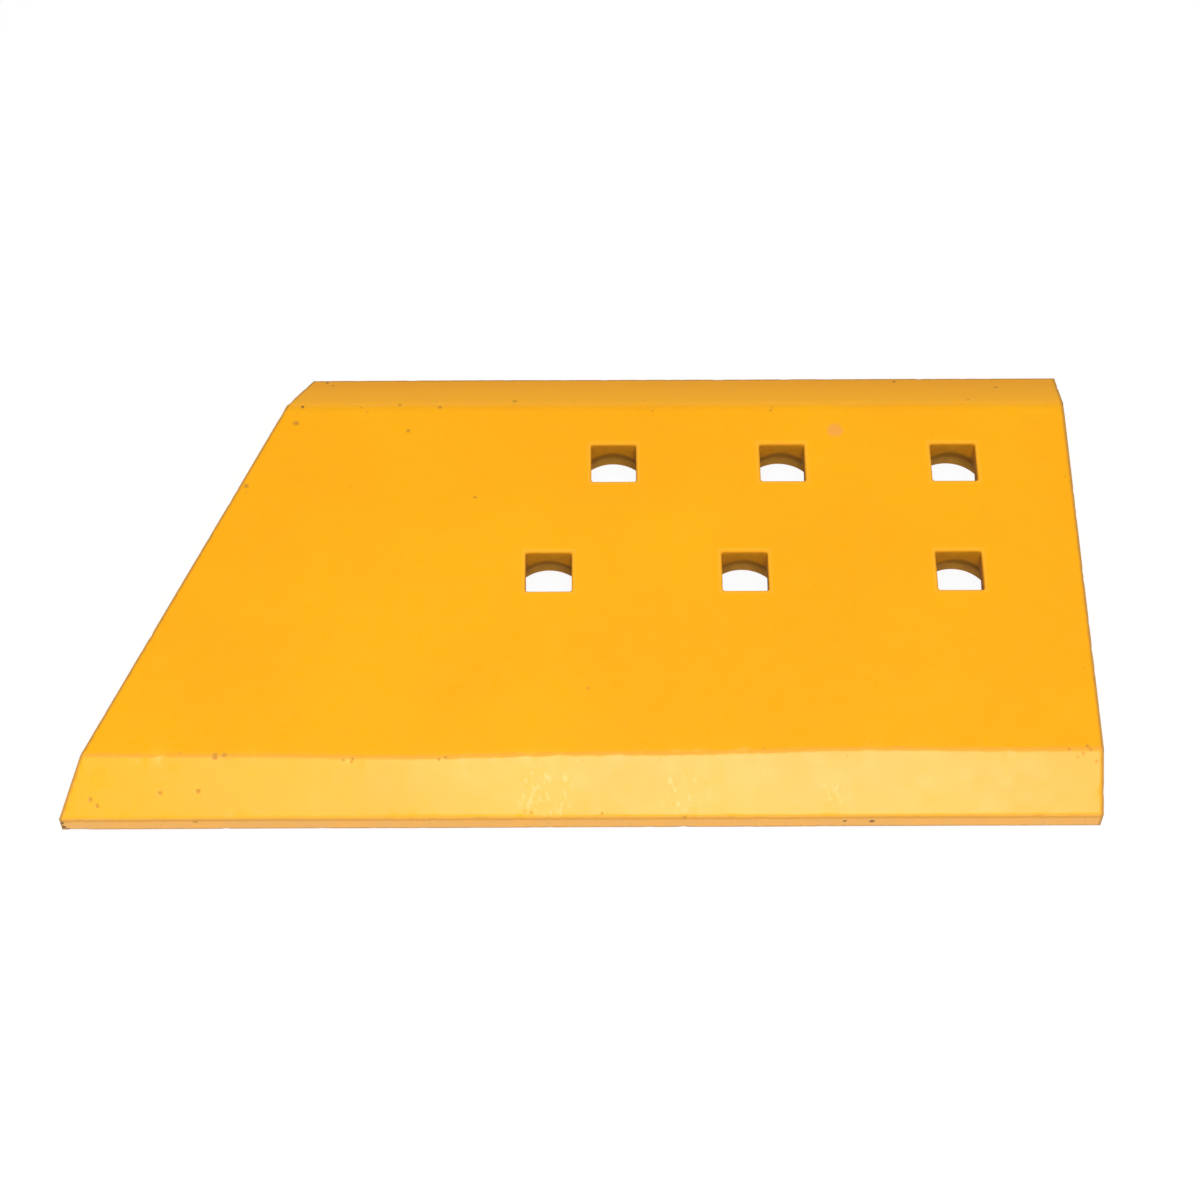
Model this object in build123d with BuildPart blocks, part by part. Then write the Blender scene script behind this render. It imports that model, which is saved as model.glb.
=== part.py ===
from build123d import *
import math
import os

# Dozer end bit: the outer section of a bulldozer's cutting edge. It is one piece of steel, cut from a
# rolled bar with a bevel along both long edges, with one end square and the other cut at a slant.
# It lies on its wear face. +X runs along the edges to the square end, +Y from the cutting edge to the
# back edge and +Z up, out of the mounting face. The origin is under the middle of its box. Sizes in mm.

# Rolled bar, seen from its end
plate_width = 254.0  # cutting edge to back edge, 10 in
plate_thickness = 28.6  # wear face to mounting face, 1 1/8 in
cutting_bevel_run = 25.0  # across the plate, from the ridge to the cutting edge
cutting_nose_height = 10.7  # blunt edge left under the cutting bevel
back_bevel_run = 27.0
back_nose_height = 13.9
ridge_radius = 2.0  # rolled corners where the bevels leave the mounting face
nose_radius = 1.2  # rolled corners of the two blunt edges

# Outline, seen from above
cutting_edge_length = 490.0  # square end to the tip of the slant
back_edge_length = 382.5
end_edge_break = 0.8  # both cut ends are dressed all round

# Holes for 7/8 in plow bolts: a square neck under the mounting face, and a round head recess
neck_side = 22.4
neck_corner_radius = 1.2
neck_rim_break = 0.6  # dressed rim on the mounting face, down and outwards
neck_rim_angle = 45.0
neck_depth = 9.0  # at the middle of each flat, down to the head's cone
head_cone_angle = 80.0  # included angle
head_recess_diameter = 38.0

# Hole places
front_row_from_cutting_edge = 126.2
front_row_from_square_end = 60.2  # first hole of the row
front_row_first_pitch = 104.7
front_row_second_pitch = 95.8
back_row_from_back_edge = 63.2
back_row_from_square_end = 58.4
back_row_first_pitch = 85.7
back_row_second_pitch = 84.3

# Places in the part's frame
blank_length = max(cutting_edge_length, back_edge_length)
square_end = blank_length / 2
cutting_edge = -plate_width / 2
back_edge = plate_width / 2
slant_tip = Vector(square_end - cutting_edge_length, cutting_edge)
slant_back_corner = Vector(square_end - back_edge_length, back_edge)
neck_bottom = plate_thickness - neck_depth
head_cone_slope = math.tan(math.radians(head_cone_angle / 2))  # run over rise
head_cone_bottom = neck_bottom - (head_recess_diameter - neck_side) / 2 / head_cone_slope
head_cone_top = neck_bottom + 2.0  # the cone runs on inside the neck, so that it crosses the flats
head_cone_top_radius = neck_side / 2 - 2.0 * head_cone_slope


def hole_row(first, first_pitch, second_pitch, row_y):
    """Centres of a row of three holes, counted from the square end."""
    distances = (first, first + first_pitch, first + first_pitch + second_pitch)
    return [(square_end - distance, row_y) for distance in distances]


hole_centres = hole_row(
    front_row_from_square_end,
    front_row_first_pitch,
    front_row_second_pitch,
    cutting_edge + front_row_from_cutting_edge,
) + hole_row(
    back_row_from_square_end,
    back_row_first_pitch,
    back_row_second_pitch,
    back_edge - back_row_from_back_edge,
)

# The space of one plow bolt: a square neck with a broken rim on the mounting face, right through the
# plate, and the head below it, a cone that opens into a straight round recess out of the wear face
with BuildPart() as plow_bolt_hole:
    with BuildSketch(Plane.XY):
        RectangleRounded(neck_side, neck_side, neck_corner_radius)
    extrude(amount=plate_thickness)
    with BuildSketch(Plane.XY.offset(plate_thickness - neck_rim_break)):
        RectangleRounded(neck_side, neck_side, neck_corner_radius)
    extrude(amount=neck_rim_break, taper=-neck_rim_angle)
    with BuildSketch(Plane.XZ):
        with BuildLine():
            Polyline(
                (0, 0),
                (head_recess_diameter / 2, 0),
                (head_recess_diameter / 2, head_cone_bottom),
                (head_cone_top_radius, head_cone_top),
                (0, head_cone_top),
                close=True,
            )
        make_face()
    revolve(axis=Axis.Z)

with BuildPart() as end_bit:
    # Rolled bar at its full length, cutting edge at the front
    with BuildSketch(Plane.YZ.offset(square_end - blank_length)):
        with BuildLine():
            Polyline(
                (cutting_edge, 0),
                (cutting_edge, cutting_nose_height),
                (cutting_edge + cutting_bevel_run, plate_thickness),
                (back_edge - back_bevel_run, plate_thickness),
                (back_edge, back_nose_height),
                (back_edge, 0),
                close=True,
            )
        make_face()
    extrude(amount=blank_length)

    # Slanted end, cut square to the wear face, and the dressed edges of both ends
    slant_line = slant_back_corner - slant_tip
    slant_plane = Plane(origin=slant_tip, x_dir=slant_line, z_dir=slant_line.cross(Vector(0, 0, 1)))
    split(bisect_by=slant_plane, keep=Keep.TOP)
    for end_face in end_bit.faces().filter_by(Plane.YZ) + end_bit.faces().filter_by(slant_plane):
        chamfer(end_face.edges(), end_edge_break)

    # Rolled corners along the bar
    fillet(end_bit.edges().filter_by(Axis.X).group_by(Axis.Z)[-1], ridge_radius)
    long_edges = end_bit.edges().filter_by(Axis.X).group_by(Axis.Y)
    fillet(long_edges[0] + long_edges[-1], nose_radius)

    with Locations(*hole_centres):
        add(plow_bolt_hole.part, mode=Mode.SUBTRACT)

end_bit.part.label = "end_bit_plate"

os.makedirs("parts", exist_ok=True)
export_step(end_bit.part, "parts/end_bit_plate.step")
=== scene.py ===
import math

import bmesh
import bpy
from mathutils import Matrix, Vector


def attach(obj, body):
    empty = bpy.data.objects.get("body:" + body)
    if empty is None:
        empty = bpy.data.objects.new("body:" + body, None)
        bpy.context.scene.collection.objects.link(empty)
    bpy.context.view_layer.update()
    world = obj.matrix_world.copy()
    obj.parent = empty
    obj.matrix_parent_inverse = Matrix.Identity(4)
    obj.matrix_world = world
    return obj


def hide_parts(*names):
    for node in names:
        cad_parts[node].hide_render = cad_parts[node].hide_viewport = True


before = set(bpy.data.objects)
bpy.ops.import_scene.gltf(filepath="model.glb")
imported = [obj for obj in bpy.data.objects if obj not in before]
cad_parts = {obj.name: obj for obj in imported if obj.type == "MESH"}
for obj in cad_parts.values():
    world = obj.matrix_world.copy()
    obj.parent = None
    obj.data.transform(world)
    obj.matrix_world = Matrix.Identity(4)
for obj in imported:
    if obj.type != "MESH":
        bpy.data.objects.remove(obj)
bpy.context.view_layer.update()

# Dozer end bit: one bar of rolled steel, bevelled along both long edges, with one slanted end and six
# holes for plow bolts, sprayed with yellow enamel. It lies on its wear face on a white studio floor.

mm = 0.001

endBit = {  # mm, as in the CAD model unless noted
    "length": 490.0,
    "backLength": 382.5,
    "width": 254.0,
    "thickness": 28.6,
    "cuttingBevelRun": 25.0,
    "cuttingNose": 10.7,
    "backBevelRun": 27.0,
    "backNose": 13.9,
    "frontRidgeReach": 1.1,  # how far the rolled corner reaches from the ridge
    "backRidgeReach": 4.0,  # much softer than the front one in the photo
    "noseReach": 1.3,
    "endBreak": 0.8,
    "stations": 20.0,  # spacing of the places where the front ridge wanders
    "grid": 2.5,  # spacing of the rows that the relief moves
}
holes = {  # mm
    "neck": 22.1,
    "neckCorner": 1.2,
    "rimRound": 1.0,
    "neckDepth": 9.0,
    "coneAngle": 80.0,
    "recessRadius": 18.7,
    "recessBreak": 0.25,
    "grid": 2.0,
    "centres": [(184.8, -0.8), (80.1, -0.8), (-15.7, -0.8), (186.6, 63.8), (100.9, 63.8), (16.6, 63.8)],
}
ridgeWander = {  # the rolled front ridge isn't straight: mm towards the cutting edge, two waves along the bar
    "shift": 0.11,
    "long": {"size": 1.53, "length": 520.0, "start": 151.6},
    "short": {"size": 0.42, "length": 140.0, "start": -59.6},
}
relief = {  # mm, all dug inwards
    "waveSize": 90.0,
    "waveDepth": 0.30,
    "nickSize": 5.0,
    "nickDepth": 0.35,
    "nickReach": 3.0,
}


def barPlanes(s):
    # the bar's eight planes, each as its outward normal and its distance from the origin in mm
    half, front, back, top = s["length"] / 2, -s["width"] / 2, s["width"] / 2, s["thickness"]
    given = {
        "square": ((1, 0, 0), (half, 0, 0)),
        "slant": ((-s["width"], s["length"] - s["backLength"], 0), (-half, front, 0)),
        "nose": ((0, -1, 0), (0, front, 0)),
        "back": ((0, 1, 0), (0, back, 0)),
        "top": ((0, 0, 1), (0, 0, top)),
        "under": ((0, 0, -1), (0, 0, 0)),
        "cuttingBevel": ((0, s["cuttingNose"] - top, s["cuttingBevelRun"]), (0, front, s["cuttingNose"])),
        "backBevel": ((0, top - s["backNose"], s["backBevelRun"]), (0, back, s["backNose"])),
    }
    planes = {}
    for name, (normal, point) in given.items():
        normal = Vector(normal).normalized()
        planes[name] = (normal, normal.dot(Vector(point)))
    return planes


planes = barPlanes(endBit)


def linearColour(sRgbHex):
    channels = [int(sRgbHex[i:i + 2], 16) / 255 for i in (1, 3, 5)]
    return tuple(c / 12.92 if c <= 0.04045 else ((c + 0.055) / 1.055) ** 2.4 for c in channels) + (1.0,)


def addNode(tree, kind, settings, inputs):
    node = tree.nodes.new("ShaderNode" + kind)
    for name, value in settings.items():
        setattr(node, name, value)
    for place, value in inputs.items():
        if isinstance(value, bpy.types.NodeSocket):
            tree.links.new(value, node.inputs[place])
        else:
            node.inputs[place].default_value = value
    return node


def newMaterial(name):
    material = bpy.data.materials.new(name)
    material.use_nodes = True
    material.node_tree.nodes.clear()
    return material, material.node_tree


def maths(tree, operation, first, second=0.5, third=0.5):
    return addNode(tree, "Math", {"operation": operation}, {0: first, 1: second, 2: third}).outputs[0]


def chain(tree, operation, values):
    result = values[0]
    for value in values[1:]:
        result = maths(tree, operation, result, value)
    return result


def ramp(tree, value, start, end, low=0.0, high=1.0):
    return addNode(tree, "MapRange", {"interpolation_type": "SMOOTHSTEP"}, {
        "Value": value, "From Min": start, "From Max": end, "To Min": low, "To Max": high}).outputs[0]


def noise(tree, place, size, detail=2.0):
    return addNode(tree, "TexNoise", {}, {"Vector": place, "Scale": 1 / size, "Detail": detail}).outputs["Fac"]


def blend(tree, share, below, above):
    return addNode(tree, "Mix", {"data_type": "RGBA"}, {0: share, 6: below, 7: above}).outputs[2]


def placeInMm(tree):
    place = addNode(tree, "TexCoord", {}, {}).outputs["Object"]
    return addNode(tree, "VectorMath", {"operation": "SCALE"}, {0: place, "Scale": 1000.0}).outputs[0]


def depthUnder(tree, place, planeName):
    # mm inside the steel from one of the bar's planes
    normal, distance = planes[planeName]
    along = addNode(tree, "VectorMath", {"operation": "DOT_PRODUCT"}, {0: place, 1: normal}).outputs["Value"]
    return maths(tree, "SUBTRACT", distance, along)


def straightenRidge(tree, place, axes):
    # takes the front ridge's wandering out of a place, in step with wanderAt
    waves = []
    for wave in (ridgeWander["long"], ridgeWander["short"]):
        turn = maths(tree, "MULTIPLY_ADD", axes["X"], math.tau / wave["length"], math.radians(wave["start"]))
        waves.append(maths(tree, "MULTIPLY", maths(tree, "SINE", turn), wave["size"]))
    shift = chain(tree, "ADD", waves + [ridgeWander["shift"]])
    height = addNode(tree, "MapRange", {}, {
        "Value": axes["Z"], "From Min": endBit["cuttingNose"], "From Max": endBit["thickness"]}).outputs[0]
    move = addNode(tree, "CombineXYZ", {}, {1: maths(tree, "MULTIPLY", shift, height)}).outputs[0]
    return addNode(tree, "VectorMath", {"operation": "ADD"}, {0: place, 1: move}).outputs[0]


def distanceToHoles(tree, place):
    # mm outside the square necks
    reaches = []
    for x, y in holes["centres"]:
        offset = addNode(tree, "VectorMath", {"operation": "SUBTRACT"}, {0: place, 1: (x, y, 0)}).outputs[0]
        offset = addNode(tree, "VectorMath", {"operation": "ABSOLUTE"}, {0: offset}).outputs[0]
        sides = addNode(tree, "SeparateXYZ", {}, {0: offset}).outputs
        reaches.append(maths(tree, "MAXIMUM", sides["X"], sides["Y"]))
    return maths(tree, "SUBTRACT", chain(tree, "MINIMUM", reaches), holes["neck"] / 2)


def distanceToAxes(tree, place):
    # mm from the nearest hole's axis
    reaches = []
    for x, y in holes["centres"]:
        offset = addNode(tree, "VectorMath", {"operation": "SUBTRACT"}, {0: place, 1: (x, y, 0)}).outputs[0]
        flat = addNode(tree, "VectorMath", {"operation": "MULTIPLY"}, {0: offset, 1: (1, 1, 0)}).outputs[0]
        reaches.append(addNode(tree, "VectorMath", {"operation": "LENGTH"}, {0: flat}).outputs["Value"])
    return chain(tree, "MINIMUM", reaches)


def distanceToMarks(tree, place, marks):
    # mm outside the nearest mark, each mark as (x, y, z, radius)
    reaches = []
    for x, y, z, radius in marks:
        away = addNode(tree, "VectorMath", {"operation": "DISTANCE"}, {0: place, 1: (x, y, z)}).outputs["Value"]
        reaches.append(maths(tree, "SUBTRACT", away, radius))
    return chain(tree, "MINIMUM", reaches)


def specks(tree, place, spacing, radius, share):
    # round specks at random, in this share of the cells
    cells = addNode(tree, "TexVoronoi", {}, {"Vector": place, "Scale": 1 / spacing}).outputs
    chance = addNode(tree, "SeparateColor", {}, {0: cells["Color"]}).outputs
    reach = maths(tree, "MULTIPLY", chance["Green"], radius / spacing)
    dot = ramp(tree, maths(tree, "SUBTRACT", cells["Distance"], reach), 0.0, 0.4 / spacing, 1.0, 0.0)
    return maths(tree, "MULTIPLY", dot, maths(tree, "LESS_THAN", chance["Red"], share))


enamel = {  # sizes in mm
    "paint": "#FFB20A",
    "paintDeep": "#FDAD09",
    "toneSize": 80.0,
    "smudge": "#F3A610",
    "smudgeSize": 16.0,
    "roughness": 0.30,
    "ior": 1.5,
    "oversprayWithPaintedLight": "#FFB206",  # the back bevel: dry and matt; as bright as the face paint and more saturated, as painted light
    "oversprayDarkerAtBackEdge": "#F6A60A",
    "oversprayRoughness": 0.80,
    "ridgeRoughness": 0.62,
    "ridgeLine": "#E99C10",
    "endEdgePaintedShade": "#BA822C",  # painted shade along the ends' chamfered edges
    "backEdgeBrown": "#A87020",
    "noseDirt": "#EBAA3E",
    "noseTopLine": "#D6952A",
    "noseFootPaintedShade": "#B07A48",
    "stainTone": "#A8700C",
    "pitTone": "#5A3408",
    "freshTone": "#FFB000",
    "pinkTone": "#F0A054",
    "peelSize": 2.6,
    "peelDepth": 0.028,
    "mottleSize": 9.0,
    "scuffs": [(-17.0, -116.3, 18.4, 17.0), (48.4, -116.5, 18.2, 15.0), (118.6, -116.7, 18.1, 10.0)],
    "pits": [
        (123.7, -127.0, 6.4, 0.5), (136.4, -127.0, 6.0, 0.8), (-243.6, -126.6, 7.6, 0.7), (-243.4, -126.8, 3.4, 0.8),
        (-242.0, -127.0, 1.2, 0.5), (-140.4, 99.6, 28.0, 0.4), (-130.4, 123.9, 15.6, 0.6), (161.5, 123.4, 15.9, 0.4),
    ],
    "stains": [
        (-180.9, -127.0, 8.2, 0.9), (48.4, -127.0, 10.2, 0.7), (-171.2, -103.1, 27.8, 1.1), (-167.0, -102.4, 28.2, 0.6),
        (-197.1, -116.8, 18.0, 0.8), (-179.4, -116.1, 18.5, 0.8), (-229.9, -119.4, 16.2, 0.7),
        (-226.6, -121.7, 14.5, 0.7), (232.5, -104.5, 26.8, 0.4), (235.3, -103.0, 27.9, 0.5), (238.5, -101.4, 28.6, 0.5),
        (237.1, -99.5, 28.6, 0.4), (228.6, -101.0, 28.6, 0.4), (241.4, -106.4, 25.4, 0.4),
        (-140.8, 99.2, 28.3, 0.7), (-143.4, 88.8, 28.6, 1.2), (-127.0, 121.0, 17.1, 0.6), (-91.3, 100.9, 28.0, 0.6),
        (-71.0, 98.7, 28.4, 0.7), (-33.2, 103.7, 26.6, 0.8), (213.2, 116.9, 19.4, 0.6), (-86.7, 83.7, 28.6, 0.7),
        (-52.3, 43.2, 28.6, 0.6), (3.2, -66.9, 28.6, 0.4), (-166.1, 50.4, 28.6, 1.0),
    ],
    "freshSpots": [(-190.9, -107.3, 24.8, 1.6)],
    "pinkSpots": [(128.2, 83.4, 28.6, 2.6)],
}


def makeFaceEnamel(s):
    # Sprayed coat on hot-rolled steel: even on the broad face, so it shows only slow clouds of tone; dry overspray
    # leaves the back bevel matt, with painted light on its colour; rubbing thins it along the front ridge and handling
    # dirties the nose; painted highlight rings the hole rims, painted shade darkens the nose's foot and the end edges,
    # and a dark brown line runs along the back nose's top edge.
    material, tree = newMaterial("yellowEnamelOnRolledSteel")
    place = placeInMm(tree)
    axes = addNode(tree, "SeparateXYZ", {}, {0: place}).outputs
    straight = straightenRidge(tree, place, axes)
    top, under, nose, back, square, slant, backBevel = [
        depthUnder(tree, place, name) for name in ("top", "under", "nose", "back", "square", "slant", "backBevel")]
    cuttingBevel = depthUnder(tree, straight, "cuttingBevel")
    end = maths(tree, "MINIMUM", square, slant)
    upper = chain(tree, "MINIMUM", [top, cuttingBevel, backBevel])
    around = chain(tree, "MINIMUM", [upper, under, nose, back])
    wobble = maths(tree, "MULTIPLY_ADD", noise(tree, place, 3.0, 3.0), 2.0, -1.0)
    wobbleWide = maths(tree, "MULTIPLY_ADD", noise(tree, place, 14.0, 3.0), 2.0, -1.0)

    def edgeLine(first, second, reach, fade, wander):
        away = maths(tree, "MULTIPLY_ADD", wobble, wander, maths(tree, "MAXIMUM", first, second))
        return ramp(tree, away, reach, reach + fade, 1.0, 0.0)

    colour = blend(tree, ramp(tree, noise(tree, place, s["toneSize"]), 0.3, 0.7), linearColour(s["paint"]),
                   linearColour(s["paintDeep"]))
    smudges = ramp(tree, noise(tree, place, s["smudgeSize"], 4.0), 0.60, 0.80, 0.0, 0.35)
    colour = blend(tree, smudges, colour, linearColour(s["smudge"]))

    onBackBevel = ramp(tree, maths(tree, "MULTIPLY_ADD", wobbleWide, 0.35, top), 0.35, 1.7)
    onBackBevel = maths(tree, "MULTIPLY", onBackBevel, ramp(tree, backBevel, 0.9, 1.6, 1.0, 0.0))
    towardsBack = maths(tree, "MULTIPLY_ADD", wobbleWide, 3.0, back)
    # painted light: the back bevel's colour stands in for light it lacks; it darkens towards the back edge
    oversprayToneAndPaintedLight = blend(tree, ramp(tree, towardsBack, 0.0, 24.0, 1.0, 0.0), linearColour(s["oversprayWithPaintedLight"]),
                     linearColour(s["oversprayDarkerAtBackEdge"]))
    colour = blend(tree, onBackBevel, colour, oversprayToneAndPaintedLight)

    # painted highlight: a paler ring round each hole's rim on the top face
    rimHighlight = maths(tree, "MULTIPLY", ramp(tree, distanceToHoles(tree, place), 1.0, 2.6, 0.35, 0.0),
                 ramp(tree, top, 0.4, 0.8, 1.0, 0.0))
    colour = blend(tree, rimHighlight, colour, linearColour("#FFC04A"))

    onNose = maths(tree, "MULTIPLY", ramp(tree, nose, 0.6, 1.0, 1.0, 0.0),
                   ramp(tree, maths(tree, "MULTIPLY_ADD", wobbleWide, 0.5, 0.55), 0.1, 0.8, 0.45, 1.0))
    colour = blend(tree, onNose, colour, linearColour(s["noseDirt"]))
    noseTop = chain(tree, "MULTIPLY", [
        ramp(tree, nose, 0.6, 1.0, 1.0, 0.0), ramp(tree, cuttingBevel, 0.3, 0.8),
        ramp(tree, maths(tree, "MULTIPLY_ADD", wobble, 0.4, cuttingBevel), 1.2, 2.6, 0.8, 0.0)])
    colour = blend(tree, noseTop, colour, linearColour(s["noseTopLine"]))
    # painted shade: a brown line along the nose's foot, where it meets the floor
    noseFootShade = maths(tree, "MULTIPLY", edgeLine(nose, under, 0.9, 1.8, 0.6), 0.8)
    colour = blend(tree, noseFootShade, colour, linearColour(s["noseFootPaintedShade"]))

    frontRidge = maths(tree, "MULTIPLY", edgeLine(top, cuttingBevel, 0.45, 0.6, 0.4), 0.7)
    colour = blend(tree, frontRidge, colour, linearColour(s["ridgeLine"]))
    # a dark brown line along the back nose's top edge
    backLine = maths(tree, "MULTIPLY", edgeLine(back, backBevel, 0.9, 1.6, 0.5), 0.9)
    colour = blend(tree, backLine, colour, linearColour(s["backEdgeBrown"]))
    # painted shade: a dark brown line along the ends' chamfered edges
    endEdgeShade = maths(tree, "MULTIPLY", edgeLine(end, around, 0.8, 1.4, 0.5), 0.85)
    colour = blend(tree, endEdgeShade, colour, linearColour(s["endEdgePaintedShade"]))

    nearRidges = chain(tree, "MAXIMUM", [
        ramp(tree, maths(tree, "MAXIMUM", top, cuttingBevel), 1.5, 4.0, 1.0, 0.0),
        ramp(tree, maths(tree, "MAXIMUM", nose, cuttingBevel), 1.0, 4.5, 1.0, 0.0),
        ramp(tree, maths(tree, "MAXIMUM", top, backBevel), 2.0, 4.0, 0.8, 0.0),
        ramp(tree, maths(tree, "MAXIMUM", end, around), 2.0, 6.0, 1.0, 0.0)])
    patches = ramp(tree, noise(tree, place, 30.0, 2.0), 0.46, 0.60)
    dots = maths(tree, "MULTIPLY", specks(tree, place, 4.0, 0.7, 0.4), maths(tree, "MULTIPLY", nearRidges, patches))
    faceDots = maths(tree, "MULTIPLY", specks(tree, place, 17.0, 0.6, 0.35), 0.2)
    wobbled = addNode(tree, "VectorMath", {"operation": "ADD"}, {0: place, 1: addNode(
        tree, "CombineXYZ", {}, {0: wobble, 1: wobble, 2: wobble}).outputs[0]}).outputs[0]
    stains = ramp(tree, distanceToMarks(tree, wobbled, s["stains"]), -0.3, 1.0, 0.6, 0.0)
    stained = chain(tree, "MAXIMUM", [maths(tree, "MULTIPLY", dots, 0.55), faceDots, stains])
    colour = blend(tree, stained, colour, linearColour(s["stainTone"]))
    pits = ramp(tree, distanceToMarks(tree, wobbled, s["pits"]), 0.0, 0.7, 0.85, 0.0)
    colour = blend(tree, pits, colour, linearColour(s["pitTone"]))
    dark = maths(tree, "MAXIMUM", stained, pits)
    fresh = ramp(tree, distanceToMarks(tree, wobbled, s["freshSpots"]), 0.0, 2.0, 0.9, 0.0)
    colour = blend(tree, fresh, colour, linearColour(s["freshTone"]))
    pink = ramp(tree, distanceToMarks(tree, wobbled, s["pinkSpots"]), 0.0, 2.5, 0.6, 0.0)
    colour = blend(tree, pink, colour, linearColour(s["pinkTone"]))

    mottle = maths(tree, "MULTIPLY_ADD", noise(tree, place, s["mottleSize"], 4.0), 0.20, -0.10)
    # rougher where paint is worn or stained, and along the painted shade lines
    wearAndShadeMarks = chain(tree, "MAXIMUM", [maths(tree, "MULTIPLY", frontRidge, 1.6), noseTop, noseFootShade, backLine, endEdgeShade,
                                   dark, fresh])
    roughness = maths(tree, "ADD", mottle, ramp(tree, wearAndShadeMarks, 0.0, 0.6, s["roughness"], s["ridgeRoughness"]))
    roughness = maths(tree, "MAXIMUM", roughness, maths(tree, "MULTIPLY", onBackBevel, s["oversprayRoughness"]))

    stretched = addNode(tree, "VectorMath", {"operation": "MULTIPLY"}, {0: place, 1: (1.0, 0.5, 0.5)}).outputs[0]
    scuffMarks = ramp(tree, noise(tree, stretched, 2.2, 3.0), 0.50, 0.66)
    scuffArea = ramp(tree, distanceToMarks(tree, place, [(x, y, z, reach - 8) for x, y, z, reach in s["scuffs"]]),
                     0.0, 8.0, 1.0, 0.0)
    scuffs = chain(tree, "MULTIPLY", [scuffMarks, scuffArea, ramp(tree, cuttingBevel, 0.6, 1.0, 1.0, 0.0)])
    colour = blend(tree, maths(tree, "MULTIPLY", scuffs, 0.45), colour, linearColour("#FFD27A"))

    peel = maths(tree, "MULTIPLY", noise(tree, place, s["peelSize"], 2.0), s["peelDepth"])
    rolled = maths(tree, "MULTIPLY", noise(tree, place, 12.0, 3.0), 0.10)
    scratched = maths(tree, "MULTIPLY", scuffs, 0.05)
    sunk = maths(tree, "MULTIPLY", dark, -0.12)
    height = chain(tree, "ADD", [peel, rolled, scratched, sunk])
    bump = addNode(tree, "Bump", {}, {"Strength": 1.0, "Distance": 0.001, "Height": height}).outputs[0]
    surface = addNode(tree, "BsdfPrincipled", {}, {
        "Base Color": colour, "Roughness": roughness, "IOR": s["ior"], "Normal": bump})
    addNode(tree, "OutputMaterial", {}, {"Surface": surface.outputs[0]})
    return material


bore = {  # sizes in mm
    "rim": "#F0A316",
    "neck": "#DA9208",
    # brown of the thin film, also used as painted shade
    "brownFilmAndShade": "#A66E06",
    "recess": "#D49C38",
    "patchSize": 5.0,
    "ringSize": 1.2,
    "roughness": 0.75,
    "specular": 0.25,
}


def makeBoreEnamel(s):
    # The spray reaches the rims and thins down the punched necks to a brown film on dull steel, in rings left by the
    # punch.
    # Painted shade darkens an arc where the neck ends at the cone, and the top of the recess under the cone.
    material, tree = newMaterial("thinEnamelAndShadeInBoltHoles")
    place = placeInMm(tree)
    axes = addNode(tree, "SeparateXYZ", {}, {0: place}).outputs
    top, under = depthUnder(tree, place, "top"), depthUnder(tree, place, "under")
    patches = noise(tree, place, s["patchSize"], 4.0)
    layers = addNode(tree, "CombineXYZ", {}, {2: axes["Z"]}).outputs[0]
    rings = noise(tree, layers, s["ringSize"], 1.0)
    uneven = ramp(tree, chain(tree, "ADD", [patches, rings]), 0.75, 1.35, 0.0, 0.45)
    slope = math.tan(math.radians(holes["coneAngle"] / 2))
    neckBottom = endBit["thickness"] - holes["neckDepth"]
    coneRadius = maths(tree, "MULTIPLY_ADD", axes["Z"], -slope, holes["neck"] / 2 + neckBottom * slope)
    aboveCone = maths(tree, "SUBTRACT", distanceToAxes(tree, place), coneRadius)

    neck = blend(tree, uneven, linearColour(s["neck"]), linearColour(s["brownFilmAndShade"]))
    # painted shade: a dark arc at the neck's foot, where it ends at the cone
    coneArcShade = ramp(tree, aboveCone, 0.4, 2.4, 1.0, 0.0)
    neck = blend(tree, coneArcShade, neck, linearColour(s["brownFilmAndShade"]))
    recess = blend(tree, uneven, linearColour(s["recess"]), linearColour(s["brownFilmAndShade"]))
    # painted shade: the recess darkens towards its top, under the cone
    recess = blend(tree, ramp(tree, under, 4.5, 7.5), recess, linearColour(s["brownFilmAndShade"]))
    colour = blend(tree, ramp(tree, under, 9.0, 12.0), recess, neck)
    rim = ramp(tree, maths(tree, "MULTIPLY_ADD", patches, 0.4, top), 0.4, 2.4, 1.0, 0.0)
    colour = blend(tree, rim, colour, linearColour(s["rim"]))
    mouth = ramp(tree, maths(tree, "MULTIPLY_ADD", patches, 0.6, under), 0.6, 1.2, 1.0, 0.0)
    colour = blend(tree, mouth, colour, linearColour(s["rim"]))
    bump = addNode(tree, "Bump", {}, {"Strength": 1.0, "Distance": 0.001, "Height": maths(
        tree, "MULTIPLY", chain(tree, "ADD", [patches, rings]), 0.25)}).outputs[0]
    surface = addNode(tree, "BsdfPrincipled", {}, {
        "Base Color": colour, "Roughness": s["roughness"], "Specular IOR Level": s["specular"], "Normal": bump})
    addNode(tree, "OutputMaterial", {}, {"Surface": surface.outputs[0]})
    return material


faceEnamel = makeFaceEnamel(enamel)
boreEnamel = makeBoreEnamel(bore)
print("materials made")


def deselectEverything():
    if bpy.context.object and bpy.context.object.mode != "OBJECT":
        bpy.ops.object.mode_set(mode="OBJECT")
    bpy.ops.object.select_all(action="DESELECT")


def startEditing(piece):
    deselectEverything()
    bpy.context.view_layer.objects.active = piece
    piece.select_set(True)
    bpy.ops.object.mode_set(mode="EDIT")
    bpy.ops.mesh.select_all(action="DESELECT")


def applyPlace(piece):
    deselectEverything()
    bpy.context.view_layer.objects.active = piece
    piece.select_set(True)
    bpy.ops.object.transform_apply(location=True, rotation=True, scale=True)


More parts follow.
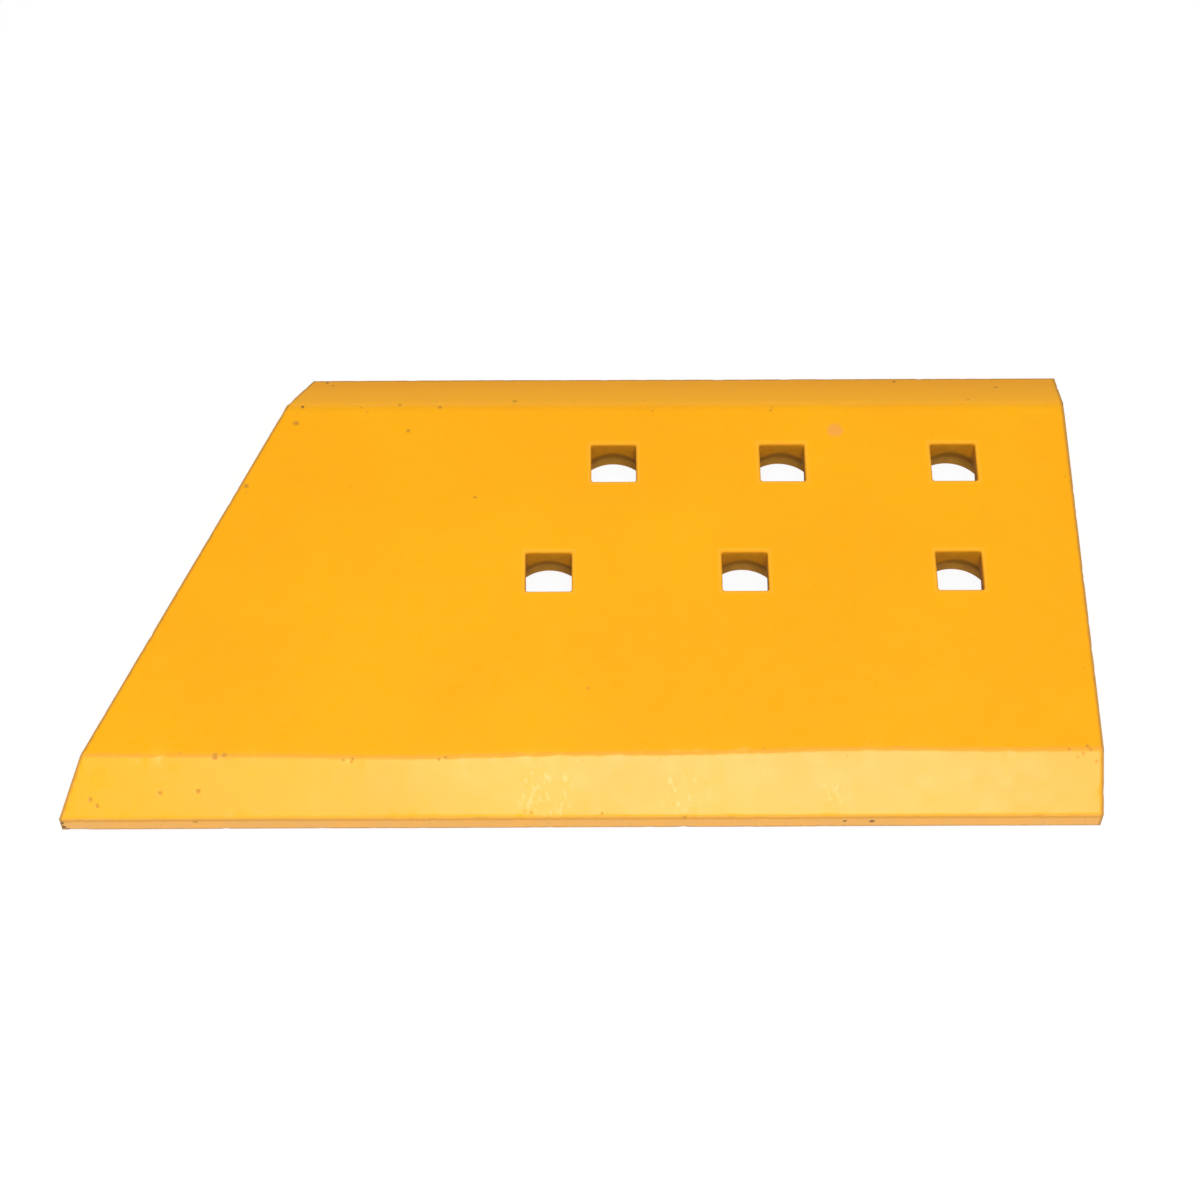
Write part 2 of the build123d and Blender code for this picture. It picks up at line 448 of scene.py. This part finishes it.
def selectVertices(test):
    bpy.ops.mesh.select_mode(type="VERT")
    bpy.ops.mesh.select_all(action="DESELECT")
    mesh = bpy.context.edit_object.data
    shape = bmesh.from_edit_mesh(mesh)
    for vertex in shape.verts:
        if test(vertex.co / mm):
            vertex.select_set(True)
    bmesh.update_edit_mesh(mesh)


def selectEdges(test):
    bpy.ops.mesh.select_mode(type="EDGE")
    bpy.ops.mesh.select_all(action="DESELECT")
    mesh = bpy.context.edit_object.data
    shape = bmesh.from_edit_mesh(mesh)
    for edge in shape.edges:
        if test(edge.verts[0].co / mm, edge.verts[1].co / mm):
            edge.select_set(True)
    bmesh.update_edit_mesh(mesh)


def selectFaces(test):
    bpy.ops.mesh.select_mode(type="FACE")
    bpy.ops.mesh.select_all(action="DESELECT")
    mesh = bpy.context.edit_object.data
    shape = bmesh.from_edit_mesh(mesh)
    for face in shape.faces:
        if test(face.calc_center_median() / mm, face.normal):
            face.select_set(True)
    bmesh.update_edit_mesh(mesh)


def cutAway(planeName):
    normal, distance = planes[planeName]
    bpy.ops.mesh.select_all(action="SELECT")
    bpy.ops.mesh.bisect(plane_co=normal * distance * mm, plane_no=normal, use_fill=True, clear_outer=True)


def cutRows(axis, positions):
    direction = Vector((0, 0, 0))
    direction[axis] = 1
    for position in positions:
        bpy.ops.mesh.select_all(action="SELECT")
        bpy.ops.mesh.bisect(plane_co=direction * position * mm, plane_no=direction)


def spread(low, high, step):
    count = max(1, round((high - low) / step))
    return [low + (high - low) * i / count for i in range(1, count)]


def near(value, target, reach=0.01):
    return abs(value - target) < reach


def wanderAt(x):
    shift = ridgeWander["shift"]
    for wave in (ridgeWander["long"], ridgeWander["short"]):
        shift += wave["size"] * math.sin(math.tau * x / wave["length"] + math.radians(wave["start"]))
    return shift


def wanderRidge(s, ridgeY):
    # moves the front ridge's points at each station
    stations = [-s["length"] / 2] + spread(-s["length"] / 2, s["length"] / 2, s["stations"]) + [s["length"] / 2]
    for station in stations:
        selectVertices(lambda v: near(v.x, station, 1) and near(v.y, ridgeY) and near(v.z, s["thickness"]))
        bpy.ops.transform.translate(value=(0, -wanderAt(station) * mm, 0))


def modelBar(s):
    half, front, back, top = s["length"] / 2, -s["width"] / 2, s["width"] / 2, s["thickness"]
    deselectEverything()
    bpy.ops.mesh.primitive_cube_add(size=1, location=(0, 0, top / 2 * mm))
    bar = bpy.context.object
    bar.name = "endBitPlate"
    bar.scale = (s["length"] * mm, s["width"] * mm, top * mm)
    applyPlace(bar)
    startEditing(bar)
    cutAway("cuttingBevel")
    cutAway("backBevel")
    cutRows(0, spread(-half, half, s["stations"]))
    wanderRidge(s, front + s["cuttingBevelRun"])
    cutAway("slant")
    bpy.ops.mesh.select_all(action="SELECT")
    bpy.ops.mesh.normals_make_consistent(inside=False)

    slantNormal, slantDistance = planes["slant"]

    def onEnds(a, b):
        squareEnd = near(a.x, half) and near(b.x, half)
        slantEnd = near(slantNormal.dot(a), slantDistance) and near(slantNormal.dot(b), slantDistance)
        return squareEnd or slantEnd

    def runsAlong(a, b):
        return abs(a.x - b.x) > 3 and abs(a.y - b.y) < 1

    selectEdges(onEnds)
    bpy.ops.mesh.bevel(offset=s["endBreak"] * mm, segments=2, profile=0.5, affect="EDGES")
    selectEdges(lambda a, b: runsAlong(a, b) and near(a.z, top) and near(b.z, top) and a.y < 0)
    bpy.ops.mesh.bevel(offset=s["frontRidgeReach"] * mm, segments=5, profile=0.5, affect="EDGES")
    selectEdges(lambda a, b: runsAlong(a, b) and near(a.z, top) and near(b.z, top) and a.y > 0)
    bpy.ops.mesh.bevel(offset=s["backRidgeReach"] * mm, segments=6, profile=0.5, affect="EDGES")
    selectEdges(lambda a, b: runsAlong(a, b) and (
        near(a.y, front) and near(b.y, front) or near(a.y, back) and near(b.y, back)))
    bpy.ops.mesh.bevel(offset=s["noseReach"] * mm, segments=4, profile=0.5, affect="EDGES")
    bpy.ops.object.mode_set(mode="OBJECT")
    return bar


def cutGrid(piece, s):
    # rows for the relief, clear of the rounded ridges
    half, front, back, top = s["length"] / 2, -s["width"] / 2, s["width"] / 2, s["thickness"]
    frontRidge, backRidge = front + s["cuttingBevelRun"], back - s["backBevelRun"]
    frontGap, backGap = s["frontRidgeReach"] + 2.3, s["backRidgeReach"] + 0.3
    startEditing(piece)
    cutRows(2, spread(0, s["cuttingNose"], s["grid"]))
    cutRows(0, spread(-half, half, s["grid"]))
    cutRows(1, spread(front, frontRidge - frontGap, s["grid"] * 0.7))
    cutRows(1, [frontRidge + frontGap] + spread(frontRidge + frontGap, backRidge - backGap, s["grid"]))
    cutRows(1, [backRidge - backGap, backRidge + backGap] + spread(backRidge + backGap, back, s["grid"]))
    bpy.ops.object.mode_set(mode="OBJECT")


def growRings(cutter, rings):
    # each ring is (height, reach) in mm, and the last one made is still selected
    height, reach = rings[0]
    for nextHeight, nextReach in rings[1:]:
        bpy.ops.mesh.extrude_region_move(TRANSFORM_OT_translate={"value": (0, 0, (nextHeight - height) * mm)})
        growth = nextReach / reach
        bpy.ops.transform.resize(value=(growth, growth, 1), center_override=(0, 0, nextHeight * mm))
        height, reach = nextHeight, nextReach


def modelNeck(s, top):
    deselectEverything()
    low = 2.0
    straight = top - s["rimRound"]
    bpy.ops.mesh.primitive_cube_add(size=1, location=(0, 0, (low + straight) / 2 * mm))
    neck = bpy.context.object
    neck.name = "squareNeck"
    neck.scale = (s["neck"] * mm, s["neck"] * mm, (straight - low) * mm)
    applyPlace(neck)
    startEditing(neck)
    selectEdges(lambda a, b: abs(a.z - b.z) > 5)
    bpy.ops.mesh.bevel(offset=s["neckCorner"] * mm, segments=5, profile=0.5, affect="EDGES")
    selectFaces(lambda centre, normal: normal.z > 0.9)
    half, radius = s["neck"] / 2, s["rimRound"]
    rings = [(straight, half)]
    for degrees in (22.5, 45, 67.5):
        turn = math.radians(degrees)
        rings.append((straight + radius * math.sin(turn), half + radius * (1 - math.cos(turn))))
    rise, run = top - rings[-1][0], half + radius - rings[-1][1]
    rings += [(top + rise, half + radius + run), (top + 1.0, half + radius + run)]
    growRings(neck, rings)
    cutRows(2, spread(low, straight, s["grid"]))
    cutRows(0, spread(s["neckCorner"] - half, half - s["neckCorner"], s["grid"]))
    cutRows(1, spread(s["neckCorner"] - half, half - s["neckCorner"], s["grid"]))
    bpy.ops.object.mode_set(mode="OBJECT")
    return neck


def modelHead(s, top):
    deselectEverything()
    neckBottom = top - s["neckDepth"]
    coneHeight = (s["recessRadius"] - s["neck"] / 2) / math.tan(math.radians(s["coneAngle"] / 2))
    radius, rim = s["recessRadius"], s["recessBreak"]
    bpy.ops.mesh.primitive_circle_add(vertices=72, radius=(radius + 2 * rim) * mm, fill_type="NGON",
                                      location=(0, 0, -rim * mm))
    head = bpy.context.object
    head.name = "headRecess"
    applyPlace(head)
    startEditing(head)
    bpy.ops.mesh.select_all(action="SELECT")
    growRings(head, [(-rim, radius + 2 * rim), (rim, radius), (neckBottom - coneHeight, radius),
                     (neckBottom, s["neck"] / 2)])
    cutRows(2, spread(rim, neckBottom, s["grid"]))
    bpy.ops.mesh.select_all(action="SELECT")
    bpy.ops.mesh.normals_make_consistent(inside=False)
    bpy.ops.object.mode_set(mode="OBJECT")
    return head


def copyToHoles(cutter, centres):
    # one copy for each hole, joined to one cutter
    copies = []
    for x, y in centres:
        copy = cutter.copy()
        copy.data = cutter.data.copy()
        copy.location = (x * mm, y * mm, 0)
        bpy.context.collection.objects.link(copy)
        copies.append(copy)
    bpy.data.objects.remove(cutter)
    deselectEverything()
    for copy in copies:
        copy.select_set(True)
    bpy.context.view_layer.objects.active = copies[0]
    bpy.ops.object.join()
    bpy.ops.object.transform_apply(location=True, rotation=True, scale=True)
    return bpy.context.object


def cutHoles(piece, cutter, material):
    cutter.data.materials.append(material)
    cut = piece.modifiers.new("holes", "BOOLEAN")
    cut.operation = "DIFFERENCE"
    cut.solver = "EXACT"
    cut.material_mode = "TRANSFER"
    cut.object = cutter
    deselectEverything()
    bpy.context.view_layer.objects.active = piece
    piece.select_set(True)
    bpy.ops.object.modifier_apply(modifier=cut.name)
    bpy.data.objects.remove(cutter)


def splitManySided(piece):
    startEditing(piece)
    bpy.ops.mesh.select_mode(type="VERT")
    bpy.ops.mesh.select_all(action="SELECT")
    bpy.ops.mesh.remove_doubles(threshold=0.005 * mm)
    bpy.ops.mesh.select_mode(type="FACE")
    bpy.ops.mesh.select_all(action="DESELECT")
    bpy.ops.mesh.select_face_by_sides(number=4, type="GREATER")
    bpy.ops.mesh.quads_convert_to_tris(ngon_method="BEAUTY")
    bpy.ops.object.mode_set(mode="OBJECT")


def groupEdges(piece, reach):
    # weights 1 on the bar's edges, falling to 0 at this reach in mm
    group = piece.vertex_groups.new(name="edges")
    for vertex in piece.data.vertices:
        depths = sorted(distance - normal.dot(vertex.co / mm) for normal, distance in planes.values())
        weight = 1 - max(0, depths[1]) / reach
        if weight > 0:
            group.add([vertex.index], min(1, weight), "REPLACE")
    return group.name


def digRelief(piece, name, size, depth, group="", low=0.0, high=1.0):
    # clouds below low dig to the full depth, those above high don't dig
    texture = bpy.data.textures.new(name, type="CLOUDS")
    texture.noise_scale = size * mm
    texture.noise_depth = 2
    texture.use_color_ramp = True
    steps = texture.color_ramp.elements
    steps[0].position, steps[0].color = low, (0, 0, 0, 1)
    steps[1].position, steps[1].color = high, (1, 1, 1, 1)
    dig = piece.modifiers.new(name, "DISPLACE")
    dig.texture = texture
    dig.texture_coords = "LOCAL"
    dig.mid_level = 1.0
    dig.strength = depth * mm
    dig.vertex_group = group
    bpy.context.view_layer.objects.active = piece
    bpy.ops.object.modifier_apply(modifier=dig.name)


def makeEndBit():
    top = endBit["thickness"]
    piece = modelBar(endBit)
    piece.data.materials.append(faceEnamel)
    cutGrid(piece, endBit)
    print("bar with its rows:", len(piece.data.polygons), "faces")
    cutHoles(piece, copyToHoles(modelNeck(holes, top), holes["centres"]), boreEnamel)
    cutHoles(piece, copyToHoles(modelHead(holes, top), holes["centres"]), boreEnamel)
    splitManySided(piece)
    print("with holes:", len(piece.data.polygons), "faces")
    deselectEverything()
    piece.select_set(True)
    bpy.context.view_layer.objects.active = piece
    bpy.ops.object.shade_smooth_by_angle(angle=math.radians(28))
    digRelief(piece, "rolledWaves", relief["waveSize"], relief["waveDepth"])
    edges = groupEdges(piece, relief["nickReach"])
    digRelief(piece, "handlingNicks", relief["nickSize"], relief["nickDepth"], edges, 0.25, 0.40)
    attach(piece, "root")
    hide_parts("end_bit_plate")
    return piece


plate = makeEndBit()
print("end bit made")

studio = {
    "floorColour": "#E4E4E4",
    "floorOwnLight": 0.9,
    "overhead": {"elevation": 80, "side": 0.0, "distance": 2.2, "width": 1.4, "height": 1.2, "power": 31.0},
    "front": {"elevation": 49.7, "side": 0.19, "distance": 2.4, "width": 1.08, "height": 1.1, "power": 23.0},
    "horizon": 1.0,
    "ceiling": 0.14,
}


def makeFloor(s):
    deselectEverything()
    bpy.ops.mesh.primitive_plane_add(size=40, location=(0, 0, -0.0002))
    floor = bpy.context.object
    floor.name = "studioFloor"
    applyPlace(floor)
    material, tree = newMaterial("whitePaperFloor")
    rays = addNode(tree, "LightPath", {}, {})
    seen = addNode(tree, "Math", {"operation": "MAXIMUM"}, {
        0: rays.outputs["Is Camera Ray"], 1: rays.outputs["Is Glossy Ray"]})
    seen = addNode(tree, "Math", {"operation": "MAXIMUM"}, {
        0: seen.outputs[0], 1: rays.outputs["Is Transmission Ray"]})
    share = addNode(tree, "Math", {"operation": "MULTIPLY"}, {0: seen.outputs[0], 1: s["floorOwnLight"]})
    paper = addNode(tree, "BsdfDiffuse", {}, {"Color": linearColour(s["floorColour"])})
    glow = addNode(tree, "Emission", {}, {"Color": (1, 1, 1, 1), "Strength": 1.03})
    both = addNode(tree, "MixShader", {}, {0: share.outputs[0], 1: paper.outputs[0], 2: glow.outputs[0]})
    addNode(tree, "OutputMaterial", {}, {"Surface": both.outputs[0]})
    floor.data.materials.append(material)


def makeWorld(s):
    world = bpy.data.worlds.new("studioWorld")
    bpy.context.scene.world = world
    world.use_nodes = True
    tree = world.node_tree
    tree.nodes.clear()
    direction = addNode(tree, "TexCoord", {}, {}).outputs["Generated"]
    height = addNode(tree, "SeparateXYZ", {}, {0: direction}).outputs["Z"]
    level = ramp(tree, height, math.sin(math.radians(10)), math.sin(math.radians(24)), s["horizon"], s["ceiling"])
    sky = addNode(tree, "Background", {}, {"Color": (1, 1, 1, 1), "Strength": level})
    addNode(tree, "OutputWorld", {}, {"Surface": sky.outputs[0]})


def makeSoftbox(name, s):
    lamp = bpy.data.lights.new(name, "AREA")
    lamp.shape = "RECTANGLE"
    lamp.size = s["width"]
    lamp.size_y = s["height"]
    lamp.energy = s["power"]
    box = bpy.data.objects.new(name, lamp)
    bpy.context.collection.objects.link(box)
    elevation = math.radians(s["elevation"])
    box.location = (s["side"], -s["distance"] * math.cos(elevation), s["distance"] * math.sin(elevation))
    aim = Vector((s["side"] * 0.2, 0, 0)) - box.location
    box.rotation_euler = aim.to_track_quat("-Z", "Y").to_euler()


makeFloor(studio)
makeWorld(studio)
makeSoftbox("overheadSoftbox", studio["overhead"])
makeSoftbox("frontSoftbox", studio["front"])
print("studio made")

view = {  # mm and degrees, from a fit to the photo
    "place": (1.124, -744.600, 1171.923),
    "target": (9.206, -17.495, 28.6),
    "roll": 0.3219,
    "lens": 84.012,
}


def makeCamera(s):
    lens = bpy.data.cameras.new("studioCamera")
    camera = bpy.data.objects.new("studioCamera", lens)
    bpy.context.collection.objects.link(camera)
    lens.sensor_width = 36
    lens.lens = s["lens"]
    lens.clip_start = 0.05
    place, target = Vector(s["place"]) * mm, Vector(s["target"]) * mm
    turned = (target - place).to_track_quat("-Z", "Y").to_matrix().to_4x4()
    camera.matrix_world = Matrix.Translation(place) @ turned @ Matrix.Rotation(math.radians(s["roll"]), 4, "Z")
    bpy.context.scene.camera = camera


makeCamera(view)
bpy.context.scene.view_settings.view_transform = "Standard"
